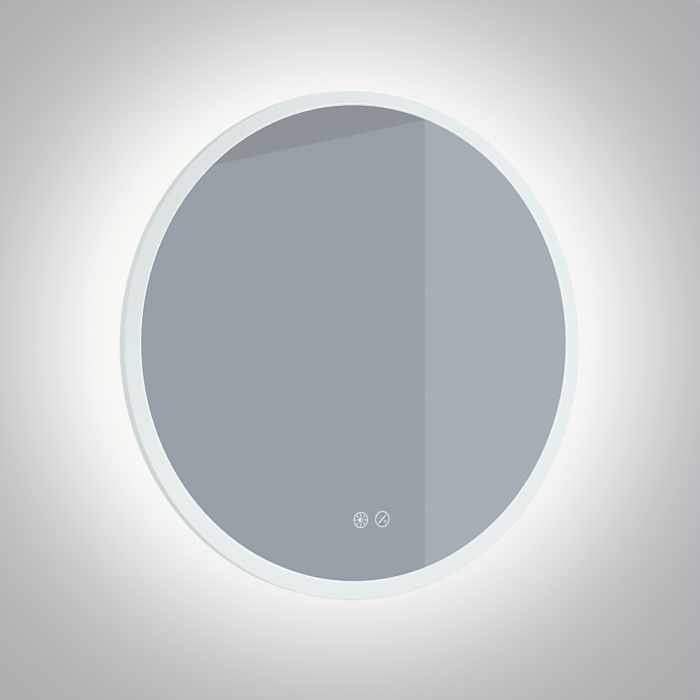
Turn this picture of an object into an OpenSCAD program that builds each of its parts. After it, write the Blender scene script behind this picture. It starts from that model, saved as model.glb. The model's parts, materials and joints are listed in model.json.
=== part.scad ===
// Round wall mirror with a lit frosted border, a backlit rim and a lift-off wall rail. All sizes are millimetres.
// X runs to the right of someone who faces the mirror, Y into the wall and Z up.
// The origin is the middle of the wall rail's screw line, on the face of the wall.
// A value whose name ends in _out is a distance from the wall towards the room.

/* [Mirror] */
// Outer diameter of the lit ring
ring_d = 600; // [560:10:700]
// How far the mirror's face stands out from the wall
face_out = 45; // [43:1:52]
// Thickness of the mirror glass
glass_t = 5; // [4:0.5:6]
// Width of the polished arris around the glass
arris = 0.8; // [0.4:0.1:1.5]
// How far the glass sits above the middle of the ring
glass_rise = 2.3; // [0:0.1:4]
// Gap between the edge of the glass and the ring's rebate
glass_fit = 0.3; // [0.1:0.1:0.8]

/* [Light ring] */
// Mean width of the ring's lit face
ring_face_w = 18.9; // [15:0.1:26]
// Depth of the ring from front to back
ring_depth = 16; // [13:1:19]
// How far the ring's ledge reaches in behind the glass
ledge_w = 25; // [20:1:30]
// Rounding of the ring's outer edges
ring_edge_r = 1.2; // [0.6:0.2:2.5]
// Depth of the groove that holds the halo diffuser
groove_depth = 2; // [1:0.5:3]

/* [Halo diffuser] */
// Wall of the halo diffuser
halo_t = 1.5; // [1:0.1:2]
// How far in from the edge of the glass the diffuser meets the ring
halo_inset = 10.5; // [8:0.5:12]
// Clearance around the halo diffuser at its seats
halo_fit = 0.2; // [0.1:0.1:0.4]

/* [Hoop] */
// Space between the hoop and the ring for the LED tapes
led_space = 5.5; // [4.5:0.5:7]
// Width of the hoop's two flanges
hoop_w = 14; // [12:1:18]
// Wall of the rolled hoop
hoop_t = 1.2; // [1:0.1:2]
// Thickness of the bond tape between hoop and glass
bond_t = 1; // [0.6:0.1:2]
// Bare margin on each side of the bond tape
bond_margin = 1; // [0.5:0.5:3]

/* [Back tray] */
// Gap between the back tray and the wall
wall_gap = 12; // [11:1:14]
// Sheet thickness of the back tray
tray_t = 1.2; // [0.8:0.1:1.6]
// How far the tray reaches out past the hoop
tray_lap = 12; // [10:1:14]
// Depth of the tray's rim lip
lip_h = 4; // [3:0.5:5]
// Width of the pressed stiffening bead
bead_w = 12; // [9:1:14]
// Height of the pressed stiffening bead
bead_h = 1.5; // [1:0.1:2]
// Distance of the bead's middle in from the hoop's flanges
bead_inset = 8; // [7.5:0.5:10]
// Number of screws from tray to hoop
tray_screw_count = 8; // [6:1:12]
// Radius of the tray screws
tray_screw_r = 1.5; // [1.2:0.1:2]
// Length of the tray screws under the head
tray_screw_l = 7; // [5:1:10]

/* [Wall rail and hanging rail] */
// Height of the wall rail's screw line above the middle of the ring
rail_rise = 140; // [120:5:150]
// Length of the wall rail
rail_l = 300; // [280:10:320]
// Sideways play of the hanging rail on each side
rail_play = 20; // [10:5:30]
// Thickness of both rails
rail_t = 2; // [1.5:0.1:2.2]
// Height of the wall rail's flange below its screw line
rail_foot = 12; // [9:1:16]
// Height of the step between the wall rail's flange and its lip
rail_step_z = 8; // [7:0.5:10]
// How far the wall rail's lip stands out from the wall
rail_lip_out = 8; // [7.5:0.25:8.5]
// Height of the wall rail's lip above its step
rail_lip_h = 8; // [6:1:12]
// Gap between the two rails' lips when hung
lip_gap = 0.5; // [0.3:0.1:1]
// Gap under the hanging rail's lip when hung
lip_foot_gap = 1; // [0.5:0.5:2]
// Height of the hanging rail's flange
hang_flange_h = 18; // [14:1:20]
// Distance between the wall rail's two screw slots
slot_pitch = 240; // [200:10:250]
// Half width of a screw slot
slot_r = 2.75; // [2.25:0.25:3]
// Overall length of a screw slot
slot_l = 12; // [8:1:16]
// Distance from the rail's middle to its inner rivets
rivet_inner_x = 40; // [30:5:60]
// Distance from the rail's middle to its outer rivets
rivet_outer_x = 110; // [90:5:115]
// Radius of the rivets
rivet_r = 1.6; // [1.2:0.1:2]

/* [Bumpers] */
// Sideways distance of each wall bumper from the middle
bumper_x = 130; // [100:10:140]
// Drop of the wall bumpers below the middle of the ring
bumper_drop = 150; // [130:10:160]
// Radius of a wall bumper
bumper_r = 9; // [7:0.5:12]
// Radius of the bumper's stem in the tray
bumper_stem_r = 3; // [2:0.5:4]

/* [LED tapes] */
// Width of both LED tapes
tape_w = 8; // [6:0.5:8.5]
// Thickness of the LED tapes
tape_t = 0.4; // [0.3:0.1:0.6]
// Thickness of the glue line under the LED tapes
glue_t = 0.1; // [0.05:0.05:0.2]
// Distance between neighbouring LED chips
led_pitch = 16.7; // [12.5:0.1:33]
// Length of an LED chip along the tape
led_l = 3.5; // [2:0.1:5]
// Width of an LED chip across the tape
led_w = 2.8; // [2:0.1:5]
// Height of an LED chip above the tape
led_h = 0.8; // [0.5:0.1:1.2]
// Gap between the hoop's front edge and the ring LED tape
ring_tape_inset = 2; // [1:0.5:3]
// Gap between the tray and the halo LED tape
halo_tape_inset = 4.5; // [3:0.5:5]
// Width of the gap between a tape's two ends
tape_end_gap = 3; // [1:0.5:5]

/* [Touch symbols] */
// Height of the symbols above the bottom edge of the glass
symbol_margin = 72.7; // [65:0.1:85]
// Distance between the two symbols
symbol_pitch = 28.6; // [27:0.1:40]
// Shift of the pair of symbols to the right
symbol_shift = 9.15; // [0:0.05:20]
// Outer radius of the brightness symbol
light_symbol_r = 9.5; // [8:0.1:11]
// Outer radius of the demister symbol
demister_symbol_r = 9.6; // [8:0.1:11]
// Line width of the symbols
symbol_line = 1.4; // [0.8:0.1:1.5]
// Depth of the symbols in the glass
symbol_depth = 0.3; // [0.1:0.1:0.6]
// Side of a touch sensor board
sensor_w = 25; // [20:1:26]
// Thickness of a touch sensor board
sensor_t = 1.6; // [1:0.2:2]
// Width of the plug on a sensor board
sensor_plug_w = 12; // [8:1:14]
// Height of the plug on a sensor board
sensor_plug_h = 14; // [12:1:18]
// Depth of the plug on a sensor board
sensor_plug_depth = 4; // [3:0.5:6]

/* [Demister] */
// Width of the demister pad
pad_w = 280; // [200:10:300]
// Height of the demister pad
pad_h = 200; // [160:10:210]
// Thickness of the demister pad
pad_t = 0.3; // [0.2:0.1:0.5]
// Height of the pad's middle above the middle of the ring
pad_rise = 20; // [10:5:30]
// Width of the pad's heater trace
trace_w = 6; // [3:1:10]
// Pitch of the trace's passes
trace_pitch = 22; // [16:1:30]
// Thickness of the heater trace
trace_t = 0.1; // [0.05:0.05:0.2]

/* [LED driver] */
// Length of the driver case
driver_l = 150; // [130:5:160]
// Height of the driver case
driver_h = 44; // [44:1:52]
// Depth of the driver case with its cover
driver_depth = 20; // [18:1:21]
// Wall of the driver case
driver_wall = 2; // [1.5:0.1:2.5]
// Distance of the driver's middle left of the mirror's middle
driver_x = 80; // [78:1:86]
// Drop of the driver and the terminal box below the middle of the ring
electrics_drop = 40; // [30:5:50]
// Length of a driver foot
foot_l = 12; // [10:1:15]
// Width of a driver foot
foot_w = 14; // [10:1:16]
// Thickness of a driver foot
foot_t = 3; // [2:0.5:4]
// Radius of the driver screws
driver_screw_r = 1.9; // [1.5:0.1:2.4]

/* [Terminal box] */
// Distance of the terminal box's middle right of the mirror's middle
box_x = 82; // [80:1:95]
// Width of the terminal box
box_w = 80; // [78:1:90]
// Height of the terminal box
box_h = 52; // [50:1:60]
// Depth of the terminal box, from its flange to its floor
box_depth = 22; // [20:1:23]
// Wall of the terminal box
box_wall = 2; // [1.5:0.1:2.5]
// Width of the box's side ears, outside its walls
box_ear_w = 13; // [11:1:15]
// Thickness of the box's flange
box_flange_t = 1.2; // [1:0.1:1.6]
// Lap of the terminal cover over the box's flange
cover_lap = 4; // [3:0.5:5]
// Thickness of the terminal cover
cover_t = 1.5; // [1.2:0.1:2]
// Radius of the cover screws
cover_screw_r = 1.5; // [1.2:0.1:1.8]
// Length of the cover screws beyond the cover
cover_screw_grip = 9; // [7:1:11]
// Width of the terminal block
block_w = 36; // [30:1:40]
// Height of the terminal block
block_h = 20; // [16:1:21]
// Depth of the terminal block
block_depth = 14; // [12:1:15]
// Radius of the cable inlet
inlet_r = 4.5; // [3.5:0.25:5.5]
// Distance of the cable inlet left of the box's middle
inlet_x = 25; // [24:1:27]

/* [Leads] */
// Radius of the lead from the terminals to the driver
mains_lead_r = 2.4; // [1.8:0.2:2.8]
// Radius of the low-voltage leads
lead_r = 1.2; // [0.8:0.1:1.4]
// Radial clearance of a lead in a hole or a clip
lead_fit = 0.3; // [0.1:0.1:0.5]
// Bend of the leads
lead_bend = 6; // [4:1:7]
// Distance of the two light leads' clips in from the hoop's flanges
clip_inset = 40; // [36:1:42]
// Length of a lead clip along its lead
clip_l = 8; // [6:1:10]
// Width of a lead clip's base
clip_w = 14; // [12:1:18]
// Wall of a lead clip over its lead
clip_wall = 1.6; // [1:0.2:2]

/* [Hidden] */
$fn = 96;
eps = 1;
ring_r = ring_d / 2;
glass_r = ring_r - ring_face_w;
ledge_r = glass_r - ledge_w;
hoop_r = ledge_r - led_space;
hoop_in_r = hoop_r - hoop_w;
tape_in_r = hoop_r + glue_t;
tray_r = hoop_r + tray_lap;
glass_back_out = face_out - glass_t;
ring_back_out = face_out - ring_depth;
hoop_front_out = glass_back_out - bond_t;
tray_front_out = wall_gap + tray_t;
halo_front_r = glass_r - halo_inset;
halo_back_r = tray_r - tray_t - halo_fit;
screw_circle_r = hoop_r - hoop_w / 2;
bead_r = hoop_in_r - bead_inset;
fixing_fit = 0.05;
lip_top_z = rail_step_z + rail_lip_h;
hang_l = rail_l - 2 * rail_play;
hang_lip_out = rail_lip_out - rail_t - lip_gap;
hang_lip_z = rail_step_z + lip_foot_gap;
rivet_z = lip_top_z + hang_flange_h * 0.6;
rivet_xs = [-rivet_outer_x, -rivet_inner_x, rivet_inner_x, rivet_outer_x];
ring_tape_out = hoop_front_out - ring_tape_inset - tape_w / 2;
halo_tape_out = tray_front_out + halo_tape_inset + tape_w / 2;
led_count = floor(2 * PI * hoop_r / led_pitch);
symbol_z = glass_rise - glass_r + symbol_margin;
light_symbol_x = symbol_shift - symbol_pitch / 2;
demister_symbol_x = symbol_shift + symbol_pitch / 2;
pad_back_out = glass_back_out - pad_t;
driver_top_out = tray_front_out + driver_depth;
board_t = 1.6;
board_out = tray_front_out + driver_wall + 3;
plug_h = 8.2;
plug_w = 14;
lead_out = board_out + board_t + plug_h / 2;
clip_floor = 0.6;
clip_out = tray_front_out + lead_r + clip_floor;
box_back_out = wall_gap - box_flange_t;
box_floor_out = box_back_out + box_depth;
block_back_out = box_floor_out - box_wall - block_depth;
block_drop = 5;
block_x = 8;
boss_r = 3.5;
boss_sink = 1;
cover_boss_x = box_w / 2 - box_wall - boss_r + boss_sink;
cover_boss_z = box_h / 2 - box_wall - boss_r + boss_sink;
pole_pitch = 11;
inlet_lip = 2;

// Where each lead leaves the driver: heights above or below the driver's middle
mains_exit_z = 13;
demister_exit_z = 0;
touch_exit_z = -14;
ring_exit_z = 10;
halo_exit_z = -10;

// Routes of the leads as [x, out, z], with x and z measured from the middle of the ring
driver_right = -driver_x + driver_l / 2;
driver_left = -driver_x - driver_l / 2;
plug_right = driver_right - driver_wall - 2;
plug_left = driver_left + driver_wall + 2;
mains_pole_x = box_x + block_x - pole_pitch;
block_top_z = -electrics_drop - block_drop + block_h / 2;
mains_z = -electrics_drop + mains_exit_z;
mains_route = [[mains_pole_x, lead_out, block_top_z], [mains_pole_x, lead_out, mains_z],
    [plug_right, lead_out, mains_z]];
exit_run = 10;
clip_run = clip_l / 2 + 5;
hoop_run = 18;
clip_x = clip_inset - hoop_in_r;
ring_lead_z = -electrics_drop + ring_exit_z;
ring_lead_end = -sqrt(pow(hoop_r, 2) - pow(abs(ring_lead_z) + lead_r, 2));
ring_route = [[plug_left, lead_out, ring_lead_z], [driver_left - exit_run, lead_out, ring_lead_z],
    [clip_x + clip_run, clip_out, ring_lead_z], [clip_x - clip_run, clip_out, ring_lead_z],
    [ring_lead_end + hoop_run, ring_tape_out, ring_lead_z], [ring_lead_end, ring_tape_out, ring_lead_z]];
halo_lead_z = -electrics_drop + halo_exit_z;
halo_lead_end = -sqrt(pow(hoop_r, 2) - pow(abs(halo_lead_z) + lead_r, 2));
halo_route = [[plug_left, lead_out, halo_lead_z], [driver_left - exit_run, lead_out, halo_lead_z],
    [clip_x + clip_run, clip_out, halo_lead_z], [clip_x - clip_run, clip_out, halo_lead_z],
    [halo_lead_end + hoop_run, halo_tape_out, halo_lead_z], [halo_lead_end, halo_tape_out, halo_lead_z]];
demister_z = -electrics_drop + demister_exit_z;
demister_lead_x = driver_right + 27;
demister_route = [[plug_right, lead_out, demister_z], [demister_lead_x, lead_out, demister_z],
    [demister_lead_x, pad_back_out, demister_z]];
touch_z = -electrics_drop + touch_exit_z;
touch_plug_out = glass_back_out - sensor_t - sensor_plug_depth;
touch_lead_x = light_symbol_x + 20;
touch_drop_z = touch_z - 14;
touch_rise_z = symbol_z + 26;
touch_route = [[plug_right, lead_out, touch_z], [touch_lead_x, lead_out, touch_z],
    [touch_lead_x, clip_out, touch_drop_z], [touch_lead_x, clip_out, touch_rise_z],
    [light_symbol_x, clip_out, symbol_z], [light_symbol_x, touch_plug_out, symbol_z]];
touch_clip_zs = [for (share = [0.22, 0.74]) touch_drop_z + share * (touch_rise_z - touch_drop_z)];
link_z = symbol_z - sensor_plug_h / 2 + lead_r + 0.6;
link_out = touch_plug_out + sensor_plug_depth / 2;
link_route = [[light_symbol_x + sensor_plug_w / 2, link_out, link_z],
    [demister_symbol_x - sensor_plug_w / 2, link_out, link_z]];

// Placing

// Moves a piece from the ring's middle to its place in the part's frame
module on_ring() translate([0, 0, -rail_rise]) children();

// Turns a [radius, out] profile about the ring's axis
module turned() rotate([90, 0, 0]) rotate_extrude() children();

// Extrudes an [x, z] outline between two distances from the wall
module slab(from_out, to_out) translate([0, -from_out, 0]) rotate([90, 0, 0])
    linear_extrude(to_out - from_out) children();

// Extrudes an [out, z] profile along X, centred
module along_x(length) rotate([90, 0, -90]) linear_extrude(length, center = true) children();

// A round bar or hole along Y
module bar(r, from_out, to_out) slab(from_out, to_out) circle(r);

// A round bar or hole along X, centred on a lead's line
module cross_bar(r, length) rotate([0, 90, 0]) cylinder(r = r, h = length, center = true);

// Places a fastener with its head towards the wall, or towards the room
module head_to_wall(x, out, z) translate([x, -out, z]) rotate([90, 0, 0]) children();
module head_to_room(x, out, z) translate([x, -out, z]) rotate([-90, 0, 0]) children();

// Outlines

module centred(w, h) translate([-w / 2, -h / 2]) square([w, h]);

module rounded(w, h, r) {
    centred(w - 2 * r, h);
    centred(w, h - 2 * r);
    for (x = [-1, 1], y = [-1, 1]) translate([x * (w / 2 - r), y * (h / 2 - r)]) circle(r);
}

module round_line(length, w) {
    centred(length, w);
    for (x = [-1, 1]) translate([x * length / 2, 0]) circle(w / 2);
}

module hoop_line(r, w) difference() {
    circle(r);
    circle(r - w);
}

// Fasteners

// A pan-head screw: its head lies below z = 0 and its shank above
module pan_screw(shank_r, length) {
    head_r = shank_r * 1.95;
    head_h = shank_r * 1.35;
    slot_w = shank_r * 0.45;
    difference() {
        union() {
            intersection() {
                translate([0, 0, -head_h]) cylinder(r = head_r, h = head_h);
                translate([0, 0, head_r * 1.2 - head_h]) sphere(head_r * 1.25);
            }
            cylinder(r = shank_r, h = length - shank_r);
            translate([0, 0, length - shank_r]) cylinder(r1 = shank_r, r2 = shank_r * 0.4, h = shank_r);
        }
        for (a = [0, 90]) rotate(a)
            translate([-head_r * 0.6, -slot_w / 2, -head_h - eps]) cube([head_r * 1.2, slot_w, head_h * 0.6 + eps]);
    }
}

// A set blind rivet: its domed head lies below z = 0, its tail beyond the sheets that it grips
module blind_rivet(shank_r, grip) {
    head_r = shank_r * 2;
    head_h = shank_r * 0.7;
    intersection() {
        translate([0, 0, -head_h]) cylinder(r = head_r, h = head_h);
        translate([0, 0, head_r * 1.3 - head_h]) sphere(head_r * 1.3);
    }
    cylinder(r = shank_r, h = grip);
    translate([0, 0, grip]) cylinder(r = shank_r * 1.4, h = shank_r * 1.6);
}

// Rails

module wall_rail_profile() {
    translate([0, -rail_foot]) square([rail_t, rail_foot + rail_step_z]);
    translate([0, rail_step_z - rail_t]) square([rail_lip_out, rail_t]);
    translate([rail_lip_out - rail_t, rail_step_z - rail_t]) square([rail_t, rail_t + rail_lip_h]);
}

module wall_rail() color("lightgray") difference() {
    along_x(rail_l) wall_rail_profile();
    for (x = [-1, 1]) translate([x * slot_pitch / 2, 0, 0])
        slab(-eps, rail_t + eps) round_line(slot_l - 2 * slot_r, 2 * slot_r);
}

module hanging_rail_profile() {
    translate([hang_lip_out - rail_t, lip_top_z]) square([wall_gap - hang_lip_out + rail_t, rail_t]);
    translate([hang_lip_out - rail_t, hang_lip_z]) square([rail_t, lip_top_z + rail_t - hang_lip_z]);
    translate([wall_gap - rail_t, lip_top_z]) square([rail_t, hang_flange_h]);
}

module hanging_rail() color("lightgray") difference() {
    along_x(hang_l) hanging_rail_profile();
    for (x = rivet_xs) translate([x, 0, rivet_z])
        bar(rivet_r + fixing_fit, wall_gap - rail_t - eps, wall_gap + eps);
}

module rail_rivets() color("silver")
    for (x = rivet_xs) head_to_wall(x, wall_gap - rail_t, rivet_z) blind_rivet(rivet_r, rail_t + tray_t);

// Back tray

module tray_profile() {
    b0 = bead_r - bead_w / 2;
    b1 = bead_r + bead_w / 2;
    polygon([
        [0, wall_gap], [b0, wall_gap], [b0 + bead_h, wall_gap + bead_h], [b1 - bead_h, wall_gap + bead_h],
        [b1, wall_gap], [tray_r, wall_gap], [tray_r, wall_gap + lip_h], [tray_r - tray_t, wall_gap + lip_h],
        [tray_r - tray_t, tray_front_out], [b1, tray_front_out], [b1 - bead_h, tray_front_out + bead_h],
        [b0 + bead_h, tray_front_out + bead_h], [b0, tray_front_out], [0, tray_front_out]
    ]);
}

module tray_hole(r) bar(r, wall_gap - eps, tray_front_out + eps);

module at_tray_screws() for (i = [0 : tray_screw_count - 1])
    rotate([0, (i + 0.5) * 360 / tray_screw_count, 0]) translate([0, 0, screw_circle_r]) children();

module at_driver_feet() for (x = [-1, 1])
    translate([-driver_x + x * (driver_l + foot_l) / 2, 0, -electrics_drop]) children();

module at_box_ears() for (x = [-1, 1])
    translate([box_x + x * (box_w / 2 + box_ear_w * 0.6), 0, -electrics_drop]) children();

module at_bumpers() for (x = [-1, 1]) translate([x * bumper_x, 0, -bumper_drop]) children();

module back_tray() color("whitesmoke") on_ring() difference() {
    turned() tray_profile();
    at_tray_screws() tray_hole(tray_screw_r + 0.3);
    at_driver_feet() tray_hole(driver_screw_r + fixing_fit);
    at_box_ears() tray_hole(rivet_r + fixing_fit);
    at_bumpers() tray_hole(bumper_stem_r + fixing_fit);
    for (x = rivet_xs) translate([x, 0, rail_rise + rivet_z]) tray_hole(rivet_r + fixing_fit);
    translate([box_x, 0, -electrics_drop])
        slab(wall_gap - eps, tray_front_out + eps) rounded(box_w + 0.6, box_h + 0.6, 3);
}

module tray_screws() color("silver") on_ring()
    at_tray_screws() head_to_wall(0, wall_gap, 0) pan_screw(tray_screw_r, tray_screw_l);

module wall_bumpers() color("dimgray") on_ring() at_bumpers() {
    bar(bumper_r, 1, wall_gap);
    bar(bumper_r - 1, 0, 1);
    bar(bumper_stem_r, wall_gap, tray_front_out);
    bar(bumper_stem_r + 1, tray_front_out, tray_front_out + 2);
}

// Hoop, glass and ring

module frame_hoop() color("gainsboro") on_ring() difference() {
    turned() {
        translate([hoop_in_r, tray_front_out]) square([hoop_w, hoop_t]);
        translate([hoop_in_r, hoop_front_out - hoop_t]) square([hoop_w, hoop_t]);
        translate([hoop_r - hoop_t, tray_front_out]) square([hoop_t, hoop_front_out - tray_front_out]);
    }
    at_tray_screws() bar(tray_screw_r + fixing_fit, tray_front_out - eps, tray_front_out + hoop_t + eps);
    translate([-hoop_r, -ring_tape_out, ring_lead_z]) cross_bar(lead_r + lead_fit, 20);
    translate([-hoop_r, -halo_tape_out, halo_lead_z]) cross_bar(lead_r + lead_fit, 20);
}

module glass_bond_tape() color("white") on_ring() turned()
    translate([hoop_in_r + bond_margin, hoop_front_out]) square([hoop_w - 2 * bond_margin, bond_t]);

module mirror_glass() color("lightsteelblue") on_ring() difference() {
    translate([0, 0, glass_rise]) turned() polygon([
        [0, glass_back_out], [glass_r, glass_back_out], [glass_r, face_out - arris], [glass_r - arris, face_out],
        [0, face_out]
    ]);
    slab(face_out - symbol_depth, face_out + eps) {
        light_symbol();
        demister_symbol();
    }
}

module ring_profile() {
    translate([ledge_r, ring_back_out]) square([ring_r - ring_edge_r - ledge_r, ring_depth]);
    translate([ledge_r, ring_back_out + ring_edge_r]) square([ring_r - ledge_r, ring_depth - 2 * ring_edge_r]);
    for (out = [ring_back_out + ring_edge_r, face_out - ring_edge_r])
        translate([ring_r - ring_edge_r, out]) circle(ring_edge_r);
}

module light_ring() color("white") on_ring() difference() {
    turned() ring_profile();
    translate([0, 0, glass_rise]) bar(glass_r + glass_fit, glass_back_out, face_out + eps);
    turned() translate([halo_front_r - halo_t - halo_fit, ring_back_out - eps])
        square([halo_t + 2 * halo_fit, groove_depth + eps]);
}

module halo_diffuser() color("ivory") on_ring() turned() polygon([
    [halo_back_r, tray_front_out], [halo_back_r, wall_gap + lip_h],
    [halo_front_r, ring_back_out - halo_t], [halo_front_r, ring_back_out + groove_depth],
    [halo_front_r - halo_t, ring_back_out + groove_depth], [halo_front_r - halo_t, ring_back_out - halo_t],
    [halo_back_r - halo_t, wall_gap + lip_h], [halo_back_r - halo_t, tray_front_out]
]);

// Touch symbols

module light_symbol() translate([light_symbol_x, symbol_z]) {
    core_r = light_symbol_r * 0.31;
    hoop_line(light_symbol_r, symbol_line);
    hoop_line(core_r, symbol_line * 0.8);
    intersection() {
        circle(core_r);
        translate([-2 * core_r, -core_r]) square([2 * core_r, 2 * core_r]);
    }
    for (a = [0 : 45 : 315]) rotate(a) translate([light_symbol_r * 0.61, 0])
        round_line(symbol_line, symbol_line * 1.2);
}

module demister_symbol() translate([demister_symbol_x, symbol_z]) {
    drop_x = demister_symbol_r * 0.37;
    drop_z = demister_symbol_r * 0.29;
    hoop_line(demister_symbol_r, symbol_line);
    rotate(45) round_line(demister_symbol_r * 1.35, symbol_line * 1.1);
    translate([-drop_x, drop_z]) difference() {
        round_line(2.2, 4.2);
        round_line(2.2, 4.2 - symbol_line);
    }
    translate([drop_x, -drop_z]) round_line(0.6, 3.6);
}

module touch_icon_light() color("white") on_ring() slab(face_out - symbol_depth, face_out) light_symbol();

module touch_icon_demister() color("white") on_ring() slab(face_out - symbol_depth, face_out) demister_symbol();

// LED tapes

module led_tape(out, gap_angle) on_ring() difference() {
    turned() translate([tape_in_r, out - tape_w / 2]) square([tape_t, tape_w]);
    rotate([0, gap_angle, 0]) translate([hoop_r, -out, 0]) cube([8, tape_w + 2, tape_end_gap], center = true);
}

module led_chips(out) on_ring() for (i = [0 : led_count - 1])
    rotate([0, (i + 0.5) * 360 / led_count, 0])
        translate([tape_in_r + tape_t + led_h / 2, -out, 0]) cube([led_h, led_w, led_l], center = true);

module ring_led_tape() color("white") led_tape(ring_tape_out, 0);

module ring_leds() color("khaki") led_chips(ring_tape_out);

module halo_led_tape() color("white") led_tape(halo_tape_out, 0);

module halo_leds() color("khaki") led_chips(halo_tape_out);

// Demister and touch sensors

module demister_pad() color("orange") on_ring()
    translate([0, 0, pad_rise]) slab(pad_back_out, glass_back_out) rounded(pad_w, pad_h, 12);

// Upright passes of the heater trace, joined in turn at the top and at the bottom
module trace_outline() {
    passes = 2 * floor((pad_w - 30) / trace_pitch / 2);
    span = (passes - 1) * trace_pitch;
    reach = pad_h - 24;
    for (i = [0 : passes - 1]) translate([i * trace_pitch - span / 2, 0]) {
        centred(trace_w, reach);
        if (i < passes - 1) translate([trace_pitch / 2, (i % 2 == 0 ? 1 : -1) * (reach - trace_w) / 2])
            centred(trace_pitch + trace_w, trace_w);
    }
}

module demister_trace() color("goldenrod") on_ring() difference() {
    translate([0, 0, pad_rise]) slab(pad_back_out - trace_t, pad_back_out) trace_outline();
    translate([demister_lead_x, 0, demister_z]) bar(lead_r + lead_fit, pad_back_out - eps, glass_back_out);
}

module sensor_board(x) on_ring() translate([x, 0, symbol_z]) {
    slab(glass_back_out - sensor_t, glass_back_out) rounded(sensor_w, sensor_w, 2);
    slab(touch_plug_out, glass_back_out - sensor_t) rounded(sensor_plug_w, sensor_plug_h, 0.6);
}

module light_touch_sensor() color("seagreen") sensor_board(light_symbol_x);

module demister_touch_sensor() color("seagreen") sensor_board(demister_symbol_x);

// LED driver

module on_driver() on_ring() translate([-driver_x, 0, -electrics_drop]) children();

module driver_exits(r, side, exits) for (z = exits)
    translate([side * driver_l / 2, -lead_out, z]) cross_bar(r + lead_fit, 3 * driver_wall);

module driver_case() color("dimgray") on_driver() difference() {
    union() {
        slab(tray_front_out, driver_top_out - driver_wall) rounded(driver_l, driver_h, 3);
        slab(tray_front_out, tray_front_out + foot_t) centred(driver_l + 2 * foot_l, foot_w);
    }
    difference() {
        slab(tray_front_out + driver_wall, driver_top_out)
            rounded(driver_l - 2 * driver_wall, driver_h - 2 * driver_wall, 1.5);
        for (x = [-1, 1], z = [-1, 1]) translate([x * (driver_l / 2 - 26), 0, z * (driver_h / 2 - 9)])
            bar(2.5, tray_front_out, board_out);
    }
    for (x = [-1, 1]) translate([x * (driver_l + foot_l) / 2, 0, 0])
        bar(driver_screw_r + 0.3, wall_gap, tray_front_out + foot_t + eps);
    driver_exits(mains_lead_r, 1, [mains_exit_z]);
    driver_exits(lead_r, 1, [demister_exit_z, touch_exit_z]);
    driver_exits(lead_r, -1, [ring_exit_z, halo_exit_z]);
}

module driver_cover() color("dimgray") on_driver() {
    slab(driver_top_out - driver_wall, driver_top_out) rounded(driver_l, driver_h, 3);
    slab(driver_top_out - driver_wall - 1.2, driver_top_out - driver_wall) difference() {
        rounded(driver_l - 2 * driver_wall - 0.4, driver_h - 2 * driver_wall - 0.4, 1.3);
        rounded(driver_l - 2 * driver_wall - 3.4, driver_h - 2 * driver_wall - 3.4, 0.8);
    }
}

module driver_board() color("seagreen") on_driver() {
    board_l = driver_l - 2 * driver_wall - 2;
    board_h = driver_h - 2 * driver_wall - 1;
    parts_out = board_out + board_t;
    slab(board_out, parts_out) centred(board_l, board_h);
    for (x = [-1, 1]) translate([x * (driver_l / 2 - driver_wall - 2 - plug_w / 2), 0, 0])
        slab(parts_out, parts_out + plug_h) centred(plug_w, driver_h - 2 * driver_wall - 2);
    slab(parts_out, driver_top_out - driver_wall - 2) rounded(28, 26, 2);
    for (x = [-40, 28, 42]) translate([x, 0, 8]) bar(5, parts_out, parts_out + 9);
    translate([-38, 0, -9]) slab(parts_out, parts_out + 8) centred(18, 12);
    translate([36, 0, -9]) slab(parts_out, parts_out + 7) centred(20, 10);
}

module driver_screws() color("silver") on_ring()
    at_driver_feet() head_to_room(0, tray_front_out + foot_t, 0) pan_screw(driver_screw_r, foot_t + tray_t + 3);

// Terminal box

module on_box() on_ring() translate([box_x, 0, -electrics_drop]) children();

module at_cover_bosses() for (s = [-1, 1]) translate([s * cover_boss_x, 0, s * cover_boss_z]) children();

module terminal_box() color("white") on_box() difference() {
    union() {
        slab(box_back_out, box_floor_out) rounded(box_w, box_h, 3);
        slab(box_back_out, wall_gap) rounded(box_w + 2 * box_ear_w, box_h + 2 * cover_lap, 4);
    }
    difference() {
        slab(box_back_out - eps, box_floor_out - box_wall)
            rounded(box_w - 2 * box_wall, box_h - 2 * box_wall, 1.5);
        at_cover_bosses() bar(boss_r, box_back_out, box_floor_out);
    }
    at_cover_bosses() bar(cover_screw_r + fixing_fit, box_back_out - eps, box_back_out + cover_screw_grip + 3);
    for (x = [-1, 1]) translate([x * (box_w / 2 + box_ear_w * 0.6), 0, 0])
        bar(rivet_r + fixing_fit, box_back_out - eps, wall_gap + eps);
    translate([-box_w / 2, -lead_out, mains_exit_z]) cross_bar(mains_lead_r + lead_fit, 3 * box_wall);
}

module terminal_cover() color("white") on_box() difference() {
    slab(box_back_out - cover_t, box_back_out) rounded(box_w + 2 * cover_lap, box_h + 2 * cover_lap, 4);
    at_cover_bosses() bar(cover_screw_r + 0.3, box_back_out - cover_t - eps, box_back_out + eps);
    translate([-inlet_x, 0, 0]) bar(inlet_r + inlet_lip, box_back_out - cover_t - eps, box_back_out + eps);
}

module cover_screws() color("silver") on_box()
    at_cover_bosses() head_to_wall(0, box_back_out - cover_t, 0)
        pan_screw(cover_screw_r, cover_t + cover_screw_grip);

module box_rivets() color("silver") on_ring()
    at_box_ears() head_to_wall(0, box_back_out, 0) blind_rivet(rivet_r, box_flange_t + tray_t);

module cable_grommet() color("black") on_box() translate([-inlet_x, 0, 0]) difference() {
    union() {
        bar(inlet_r + inlet_lip, box_back_out - cover_t, box_back_out);
        bar(inlet_r + 2 * inlet_lip, box_back_out - cover_t - 1.6, box_back_out - cover_t);
        bar(inlet_r + 2 * inlet_lip, box_back_out, box_back_out + 1.6);
    }
    bar(inlet_r, 0, box_floor_out);
}

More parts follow.
